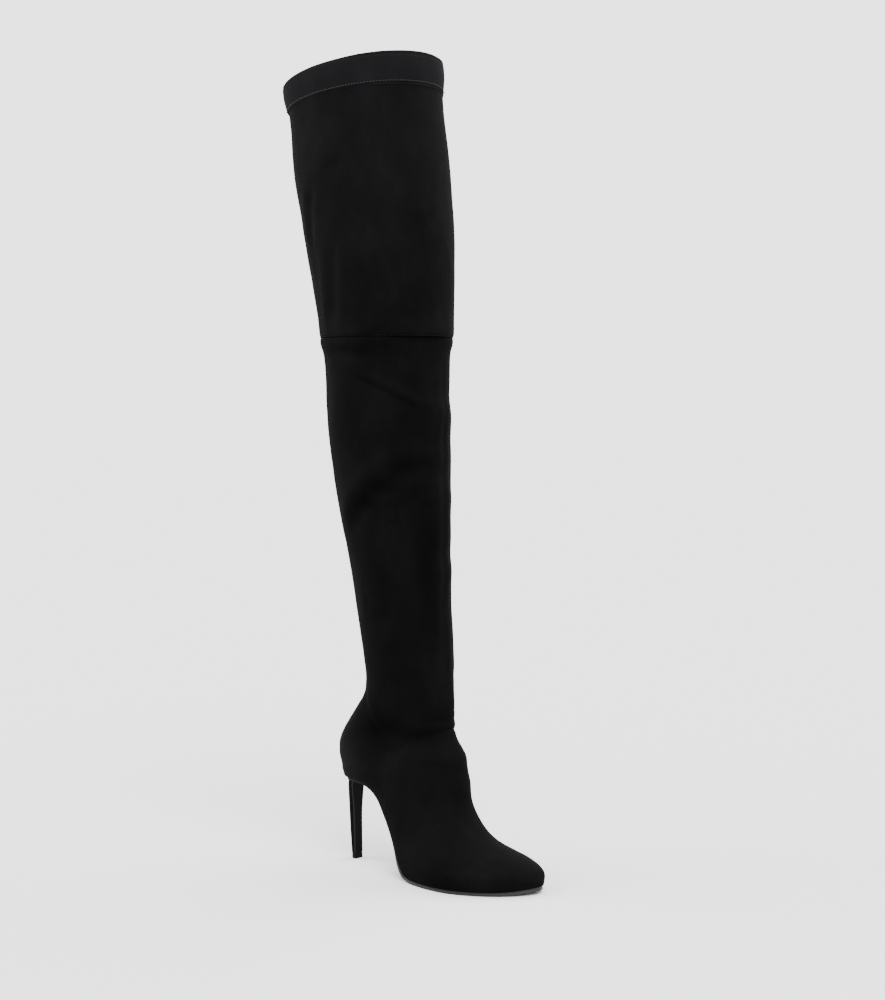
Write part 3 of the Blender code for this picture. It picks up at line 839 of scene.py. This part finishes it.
def stitch_ring(name, row, hem, radius, thread):
    """Short round-ended threads along a closed ring, on the surface that a hem's function moves."""
    row = row_array(row)
    steps = np.linalg.norm(np.roll(row, -1, axis=0) - row, axis=1)
    starts = np.concatenate(((0.0,), np.cumsum(steps)))
    count = int(starts[-1] / STITCH_PITCH)
    at = (np.arange(count) + 0.5) * starts[-1] / count
    loop = np.vstack((row, row[:1]))

    def along_ring(places):
        return np.stack([np.interp(places, starts, loop[:, k]) for k in range(3)], axis=1)

    centres = along_ring(at)
    way = along_ring(at + STITCH_AIM) - along_ring(at - STITCH_AIM)
    way /= np.linalg.norm(way, axis=1)[:, None]
    out = np.cross(way, (0.0, 0.0, 1.0))
    out *= np.sign(np.sum(out * (centres - row.mean(axis=0)), axis=1))[:, None]
    out /= np.linalg.norm(out, axis=1)[:, None]
    centres += (hem(centres) + 0.4 * radius)[:, None] * out
    skin = Skin()
    turns = [2.0 * math.pi * k / STITCH_SIDES for k in range(STITCH_SIDES)]
    for centre, up, ahead in zip(centres, out, way):
        sideways = np.cross(ahead, up)
        rows = []
        for t, swell in STITCH_PROFILE:
            sink = -0.55 * radius * (2.0 * abs(t)) ** 4
            middle = centre + ahead * (STITCH_LENGTH * t) + up * sink
            rows.append([middle + radius * swell * (math.cos(a) * up + math.sin(a) * sideways)
                         for a in turns])
        skin.grid(rows, closed=True)
    return skin.finish(name, (thread,), merge=1e-7)


def band_share(points):
    """How high in the band each point is, from 0 at its lower edge to 1 at the collar."""
    half_way = 0.5 * (BAND_LOW + COLLAR)
    slope = smooth(RINGS, "height", "slope", half_way)
    middle = CALF_DEPTH * smooth(RINGS, "height", "middle", half_way)
    level = points[:, 2] - slope * (points[:, 0] - middle)
    return (level - KNEE_HEIGHT * BAND_LOW) / (KNEE_HEIGHT * (COLLAR - BAND_LOW))


def slab(name, upper_rows, lower_rows, materials, bevel):
    """A closed slab between two grids of the same shape, its edges softened."""
    skin = Skin()
    skin.grid(upper_rows)
    skin.grid(lower_rows)
    for edge in (0, -1):
        skin.grid([[row[edge] for row in upper_rows], [row[edge] for row in lower_rows]])
        skin.grid([upper_rows[edge], lower_rows[edge]])
    piece = skin.finish(name, materials)
    soften(piece, bevel)
    return piece


def soften(piece, width):
    piece.data.set_sharp_from_angle(angle=SHARP_ANGLE)
    edge = piece.modifiers.new("edge", "BEVEL")
    edge.width = width
    edge.segments = 2
    edge.limit_method = "ANGLE"
    edge.angle_limit = BEVEL_ANGLE
    edge.harden_normals = True


def across(inner, outer):
    return [lerp(inner, outer, k / SOLE_COLUMNS) for k in range(SOLE_COLUMNS + 1)]


def bottom_row(along, inset, lift):
    """A row of points across the last's bottom, lifted square to it by a distance."""
    rise = lift * bottom_normal(drawn_in(along, inset))
    return [point + rise for point in across(inset_edge(along, 1.0, inset),
                                             inset_edge(along, -1.0, inset))]


def make_insole(lining):
    inset = WALL + INSOLE_CLEAR
    low = WALL + INSOLE_LIFT
    stations = fine_stations(SOLE_ROWS)
    lower = [bottom_row(along, inset, low) for along in stations]
    upper = [bottom_row(along, inset, low + INSOLE_THICK) for along in stations]
    return slab("boot_insole", upper, lower, (lining,), INSOLE_ROUND)


def stem_size(height, column):
    """A size of the heel's stem at a height over the floor."""
    unit = STEM_WIDTH if column == "width" else STEM_DEPTH
    return unit * smooth(STEMS, "height", column, height / SEAT_HEIGHT)


def breast_centre():
    """The centre of the curve where the sole turns down the heel's breast."""
    low = bottom_height(BREAST_ALONG) - GAP - WAIST_THICK - BREAST_RADIUS
    return Vector((stem_size(low, "front") + BREAST_RADIUS, 0.0, low))


def breast_point(turn, outward):
    """A point of the breast's curve; turn is 0 where it meets the stem and 1 at the waist."""
    angle = 0.5 * math.pi * turn
    reach = BREAST_RADIUS + outward
    return breast_centre() + Vector((-reach * math.cos(angle), 0.0, reach * math.sin(angle)))


def breast_half_width(turn):
    """Half the breast's width along its curve, from the stem's out to the seat's."""
    stem = 0.5 * stem_size(breast_centre().z, "width")
    seat = abs(inset_edge(BREAST_ALONG, -1.0, WAIST_INSET).y)
    return lerp(stem, seat, (1.0 - math.cos(0.5 * math.pi * turn)) ** BREAST_FLARE)


def make_outsole(gloss, edge, flap_edge_painted_highlight):
    """The sole from the toe to the waist, turned down over the heel's breast to its tread."""
    waist_end = BREAST_ALONG + 0.02
    lower, upper = [], []
    for along in fine_stations(SOLE_ROWS):
        if along > waist_end:
            inset = sole_size(along, SOLE_INSET, WAIST_INSET)
            thick = sole_size(along, SOLE_THICK, WAIST_THICK)
            lower.append(bottom_row(along, inset, -GAP - thick))
            upper.append(bottom_row(along, inset, -GAP))
    for k in range(BREAST_STEPS + 1):
        turn = 1.0 - k / BREAST_STEPS
        half = breast_half_width(turn)
        thick = lerp(FLAP_THICK, WAIST_THICK, turn ** 2)
        for rows, outward in ((lower, 0.0), (upper, thick)):
            point = breast_point(turn, outward)
            side = Vector((0.0, half, 0.0))
            rows.append(across(point + side, point - side))
    foot = TOP_PIECE_THICK + GAP
    start = breast_centre().z
    for k in range(1, STEM_STEPS + 1):
        height = lerp(start, foot, k / STEM_STEPS)
        side = Vector((0.0, 0.5 * stem_size(height, "width"), 0.0))
        for rows, behind in ((lower, 0.0), (upper, FLAP_THICK)):
            point = Vector((stem_size(height, "front") - behind, 0.0, height))
            rows.append(across(point + side, point - side))
    piece = slab("boot_outsole", upper, lower, (gloss, edge, flap_edge_painted_highlight), EDGE_ROUND)
    paint_edges(piece.data)
    return piece


def paint_edges(data):
    """Gives the sole's side faces their material: 1 round the forefoot, a painted reflection, and 2
    behind it, painted highlights.
    """
    for face in data.polygons:
        at_toe = face.normal.x > TOE_TILT and face.center.x > 0.5 * SOLE_LENGTH
        if abs(face.normal.y) > SIDE_TILT or at_toe:
            forefoot = face.center.z < FOREFOOT_HEIGHT and face.center.x > FOREFOOT_START
            face.material_index = 1 if forefoot else 2


def stem_ring(height, back, front, half_width):
    """A D-shaped ring with its flat side to the front."""
    points = []
    for k in range(HEEL_COLUMNS + 1):
        angle = math.pi * (k / HEEL_COLUMNS - 0.5)
        x = front - (front - back) * math.cos(angle) ** 0.9
        points.append(Vector((x, half_width * math.sin(angle), height)))
    return points


def seat_ring():
    """The seat's outline behind the breast, a little under the last's bottom."""
    points = []
    for k in range(HEEL_COLUMNS + 1):
        angle = math.pi * (k / HEEL_COLUMNS - 0.5)
        along = SEAT_ALONG * (1.0 - math.cos(angle))
        edge = inset_edge(along, -1.0 if angle < 0.0 else 1.0, SOLE_INSET)
        points.append(edge - Vector((0.0, 0.0, SEAT_CLEAR)))
    return points


def make_heel(suede):
    """The covered heel: its stem, the flare under the seat and the seat itself."""
    flare_end = 0.8
    rows = []
    foot = TOP_PIECE_THICK + GAP
    start = breast_centre().z
    for k in range(STEM_STEPS + 1):
        height = lerp(foot, start, k / STEM_STEPS)
        rows.append(stem_ring(height, stem_size(height, "back"),
                              stem_size(height, "front") - FLAP_THICK,
                              0.5 * stem_size(height, "width")))
    for k in range(1, BREAST_STEPS):
        turn = k / BREAST_STEPS
        if turn < flare_end:
            front = breast_point(turn, lerp(FLAP_THICK, WAIST_THICK, turn ** 2))
            rows.append(stem_ring(front.z, stem_size(front.z, "back"), front.x,
                                  breast_half_width(turn)))
    rows.append(seat_ring())
    skin = Skin()
    skin.capped(rows)
    piece = skin.finish("boot_heel", (suede,))
    piece.data.set_sharp_from_angle(angle=SHARP_ANGLE)
    return piece


def make_top_piece(rubber):
    """The heel's tread, flat on the floor."""
    height = TOP_PIECE_THICK
    skin = Skin()
    sizes = stem_size(height, "back"), stem_size(height, "front"), 0.5 * stem_size(height, "width")
    skin.capped([stem_ring(level, *sizes) for level in (0.0, height)])
    piece = skin.finish("boot_top_piece", (rubber,))
    soften(piece, EDGE_ROUND)
    return piece


class Nodes:
    """A material's node tree, built by name."""

    def __init__(self, name):
        self.material = bpy.data.materials.new(name)
        self.material.use_nodes = True
        self.tree = self.material.node_tree
        self.shader = self.tree.nodes["Principled BSDF"]
        self.place = self.add("TexCoord", {}).outputs["Object"]

    def fill(self, node, inputs):
        """Gives a node's inputs, by name, a value each or an output to link."""
        for key, value in inputs.items():
            if isinstance(value, bpy.types.NodeSocket):
                self.tree.links.new(value, node.inputs[key])
            else:
                node.inputs[key].default_value = value

    def add(self, kind, inputs, **values):
        node = self.tree.nodes.new("ShaderNode" + kind)
        for key, value in values.items():
            setattr(node, key, value)
        self.fill(node, inputs)
        return node

    def set(self, **inputs):
        self.fill(self.shader, {key.replace("_", " "): inputs[key] for key in inputs})

    def noise(self, scale, detail, rough, stretch=None):
        source = self.place
        if stretch is not None:
            mapping = self.add("Mapping", {"Scale": stretch, "Vector": source})
            source = mapping.outputs["Vector"]
        inputs = {"Scale": scale, "Detail": detail, "Roughness": rough, "Vector": source}
        return self.add("TexNoise", inputs).outputs["Fac"]

    def ramp(self, source, stops):
        node = self.add("ValToRGB", {"Fac": source})
        elements = node.color_ramp.elements
        while len(elements) < len(stops):
            elements.new(0.5)
        for element, (position, colour) in zip(elements, stops):
            element.position = position
            element.color = (*colour, 1.0)
        return node.outputs["Color"]

    def span(self, source, low, high, **values):
        inputs = {"Value": source, "To Min": low, "To Max": high}
        return self.add("MapRange", inputs, **values).outputs["Result"]

    def mix(self, share, first, second, **values):
        inputs = {"Factor": share, "A": first, "B": second}
        return self.add("Mix", inputs, data_type="RGBA", **values).outputs["Result"]

    def bump(self, source, strength, distance, after=None):
        inputs = {"Strength": strength, "Distance": distance, "Height": source}
        if after is not None:
            inputs["Normal"] = after
        return self.add("Bump", inputs).outputs["Normal"]


# The suede's patterns in waves a metre, the gain of its light tone in patches and of the painted
# light higher up the panel, how strongly suede and sole reflect, and how blue the greys are
NAP_SCALE = 2300.0
WEAVE_SCALE = 520.0
WAVE_SCALE = 64.0
PATCH_SCALE = 26.0
CLOUD_SCALE = 7.0
PATCH_GAIN = 1.15
PAINTED_LIGHT_GAIN = 1.35
SUEDE_GLOSS = 0.013
SOLE_GLOSS = 0.022
COOL = 1.08


def grey(value, cool=COOL):
    return (value, value, value * cool)


def gained(colour, gain):
    return tuple(gain * part for part in colour)


def suede_material(name, tones, sheen, painted_light_height=0.0, painted_spots=()):
    """Short-napped black stretch suede: a fine nap, brushed patches and a soft sheen.

    tones are its dark, middle and light greys; above the height given, if it isn't 0, the colour is
    painted lighter the higher up it is, a painted light, and the spots given are painted light and
    shade.
    """
    nodes = Nodes(name)
    dark, middle, light = (grey(tone) for tone in tones)
    nap = nodes.noise(NAP_SCALE, 3.0, 0.75)
    brushed = nodes.noise(PATCH_SCALE, 5.0, 0.62, (1.0, 1.0, 0.6))
    cloud = nodes.noise(CLOUD_SCALE, 3.0, 0.5)
    fine = nodes.ramp(nap, ((0.32, dark), (0.52, middle), (0.74, light)))
    patch = nodes.ramp(brushed, ((0.36, dark), (0.50, middle), (0.66, gained(light, PATCH_GAIN))))
    colour = nodes.mix(nodes.span(cloud, 0.35, 0.70), fine, patch)
    if painted_light_height:
        # Painted light: the colour grows lighter from this height up to the boot's top.
        split = nodes.add("SeparateXYZ", {"Vector": nodes.place})
        inputs = {"Value": split.outputs["Z"], "From Min": painted_light_height, "From Max": BOOT_HEIGHT}
        rise = nodes.add("MapRange", inputs)
        lifted = nodes.ramp(brushed, ((0.30, middle), (0.75, gained(light, PAINTED_LIGHT_GAIN))))
        colour = nodes.mix(rise.outputs["Result"], colour, lifted)
    grain = nodes.bump(nap, 0.45, 0.00020)
    weave = nodes.bump(nodes.noise(WEAVE_SCALE, 5.0, 0.65), 0.35, 0.00030, grain)
    soft = nodes.bump(nodes.noise(WAVE_SCALE, 4.0, 0.55), 0.35, 0.0012, weave)
    nodes.set(Base_Color=paint_light_and_shade(nodes, colour, painted_spots), Normal=soft,
              Roughness=nodes.span(brushed, 0.80, 1.0), Specular_IOR_Level=SUEDE_GLOSS,
              Sheen_Weight=sheen, Sheen_Roughness=0.38, Sheen_Tint=(0.9, 0.9, 1.0, 1.0))
    return nodes.material


def paint_light_and_shade(nodes, colour, painted_spots):
    """Painted light and shade: soft lighter or darker places, each fading out from its centre."""
    for mark in painted_spots:
        inputs = {"Location": mark.centre, "Scale": mark.reach, "Vector": nodes.place}
        mapping = nodes.add("Mapping", inputs, vector_type="TEXTURE")
        length = nodes.add("VectorMath", {0: mapping.outputs["Vector"]}, operation="LENGTH")
        fade = nodes.span(length.outputs["Value"], 1.0, 0.0, interpolation_type="SMOOTHSTEP")
        gain = (mark.gain, mark.gain, mark.gain, 1.0)
        colour = nodes.mix(fade, colour, gain, blend_type="MULTIPLY")
    return colour


def gloss_material(name, colour):
    """Black polished sole with faint scuffs."""
    nodes = Nodes(name)
    scuff = nodes.noise(160.0, 5.0, 0.7, (1.0, 3.0, 1.0))
    tone = nodes.ramp(scuff, ((0.35, colour), (0.80, gained(colour, 1.8))))
    polish = nodes.bump(nodes.noise(900.0, 3.0, 0.6), 0.08, 0.0001)
    nodes.set(Base_Color=tone, Roughness=nodes.span(scuff, 0.20, 0.40), Normal=polish,
              Specular_IOR_Level=SOLE_GLOSS)
    return nodes.material


def plain_material(name, dark, light, roughness, scale, depth, shine=0.1, cool=COOL):
    """A matt material between two greys, with a grain of a scale and depth."""
    nodes = Nodes(name)
    grain = nodes.noise(scale, 4.0, 0.6)
    tone = nodes.ramp(grain, ((0.3, grey(dark, cool)), (0.7, grey(light, cool))))
    nodes.set(Base_Color=tone, Normal=nodes.bump(grain, 0.3, depth), Specular_IOR_Level=shine,
              Roughness=nodes.span(grain, roughness - 0.06, roughness + 0.06))
    return nodes.material


# Place of the camera: the way it looks, its distance, and the pixel that shows the origin
PHOTO_WIDTH = 885
PHOTO_HEIGHT = 1000
AZIMUTH = math.radians(41.5)
HORIZON = 405.0
FOCAL = 1850.0
PIXELS_PER_MM = 1.13
ORIGIN_PIXEL = (357.0, 857.5)
SENSOR = 36.0


def make_camera():
    pitch = -math.atan((0.5 * PHOTO_HEIGHT - HORIZON) / FOCAL)
    ahead = Vector((-math.sin(AZIMUTH) * math.cos(pitch), math.cos(AZIMUTH) * math.cos(pitch),
                    math.sin(pitch)))
    right = Vector((math.cos(AZIMUTH), math.sin(AZIMUTH), 0.0))
    up = right.cross(ahead)
    aside = (ORIGIN_PIXEL[0] - 0.5 * PHOTO_WIDTH) / FOCAL
    below = (ORIGIN_PIXEL[1] - 0.5 * PHOTO_HEIGHT) / FOCAL
    ray = aside * right - below * up + ahead
    data = bpy.data.cameras.new("camera")
    data.sensor_width = SENSOR
    data.lens = SENSOR * FOCAL / PHOTO_HEIGHT
    camera = bpy.data.objects.new("camera", data)
    camera.location = -ray * (0.001 * FOCAL / PIXELS_PER_MM)
    camera.rotation_euler = ahead.to_track_quat("-Z", "Y").to_euler()
    bpy.context.scene.collection.objects.link(camera)
    bpy.context.scene.camera = camera


# The floor's tone and half its width, the light from all round, and the lamps: soft suns that
# shine from a direction with a strength and a spread in degrees
FLOOR_TONE = 0.465
FLOOR_REACH = 14.0
WORLD_STRENGTH = 3.0
LAMPS = table(
    "name source strength spread",
    ("key", (1.2, -0.8, 1.9), 7.0, 36.0),
    ("left", (-1.6, -1.0, 1.0), 5.0, 50.0),
    ("back", (0.3, 1.7, 1.5), 4.0, 60.0),
)


def make_floor():
    nodes = Nodes("pale_floor")
    nodes.set(Base_Color=(FLOOR_TONE, FLOOR_TONE, FLOOR_TONE, 1.0), Roughness=0.9,
              Specular_IOR_Level=0.0)
    skin = Skin()
    places = (-FLOOR_REACH, 0.0, FLOOR_REACH)
    skin.grid([[Vector((x, y, 0.0)) for x in places] for y in places])
    floor = skin.finish("floor", (nodes.material,))


def make_light():
    world = bpy.data.worlds.new("studio")
    world.use_nodes = True
    background = world.node_tree.nodes["Background"]
    background.inputs["Color"].default_value = (1.0, 1.0, 1.0, 1.0)
    background.inputs["Strength"].default_value = WORLD_STRENGTH
    bpy.context.scene.world = world
    for lamp in LAMPS:
        data = bpy.data.lights.new(lamp.name, "SUN")
        data.energy = lamp.strength
        data.angle = math.radians(lamp.spread)
        light = bpy.data.objects.new(lamp.name, data)
        light.location = Vector(lamp.source)
        light.rotation_euler = (-light.location).to_track_quat("-Z", "Y").to_euler()
        bpy.context.scene.collection.objects.link(light)


def main():
    # The suedes carry painted light and shade in places; the panel is also painted lighter higher
    # up.
    suede = suede_material("black_suede", (0.0009, 0.0015, 0.0022), sheen=0.0020,
                           painted_spots=UPPER_PAINTED_SPOTS)
    panel = suede_material("panel_suede", (0.0011, 0.0018, 0.0028), sheen=0.0026,
                           painted_light_height=PANEL_PAINTED_LIGHT_FROM, painted_spots=PANEL_PAINTED_SPOTS)
    band = suede_material("band_suede", (0.0034, 0.0042, 0.0052), sheen=0.004)
    gloss = gloss_material("black_gloss", (0.0012, 0.0012, 0.0013))
    rubber = plain_material("black_rubber", 0.0015, 0.003, roughness=0.7,
                            scale=700.0, depth=0.0002, shine=0.03)
    lining = plain_material("dark_lining", 0.005, 0.009, roughness=0.8,
                            scale=900.0, depth=0.0002, cool=0.95)
    thread = plain_material("band_thread", 0.012, 0.022, roughness=0.7,
                            scale=2400.0, depth=0.0001)
    knee_thread = plain_material("knee_thread", 0.003, 0.006, roughness=0.8,
                                 scale=2400.0, depth=0.0001, shine=0.03)
    # The sole's forefoot edge is lighter: a painted reflection of the floor.
    edge = plain_material("sole_edge_painted_reflection", 0.010, 0.016, roughness=0.5, scale=500.0, depth=0.0001)
    # The edges behind the forefoot and along the heel's breast are a little lighter: painted
    # highlights.
    flap_edge_painted_highlight = plain_material("flap_edge_painted_highlight", 0.003, 0.005, roughness=0.5,
                               scale=500.0, depth=0.0001, shine=0.05)
    pieces = (
        (make_upper(suede, lining), "upper", "suede_fabric"),
        (make_thigh_panel(panel, lining), "thigh_panel", "suede_fabric"),
        (make_top_band(band, lining), "top_band", "band_fabric"),
        (make_outsole(gloss, edge, flap_edge_painted_highlight), "outsole", "sole_gloss"),
        (make_heel(suede), "heel", "suede_fabric"),
        (make_top_piece(rubber), "top_piece", "heel_rubber"),
        (make_insole(lining), "insole", "lining"),
    )
    for piece, node, slot in pieces:
        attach(piece, "root")
        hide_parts(node)
    for piece in (make_band_stitches(thread), make_knee_stitches(knee_thread)):
        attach(piece, "root")
    make_floor()
    make_light()
    make_camera()


main()
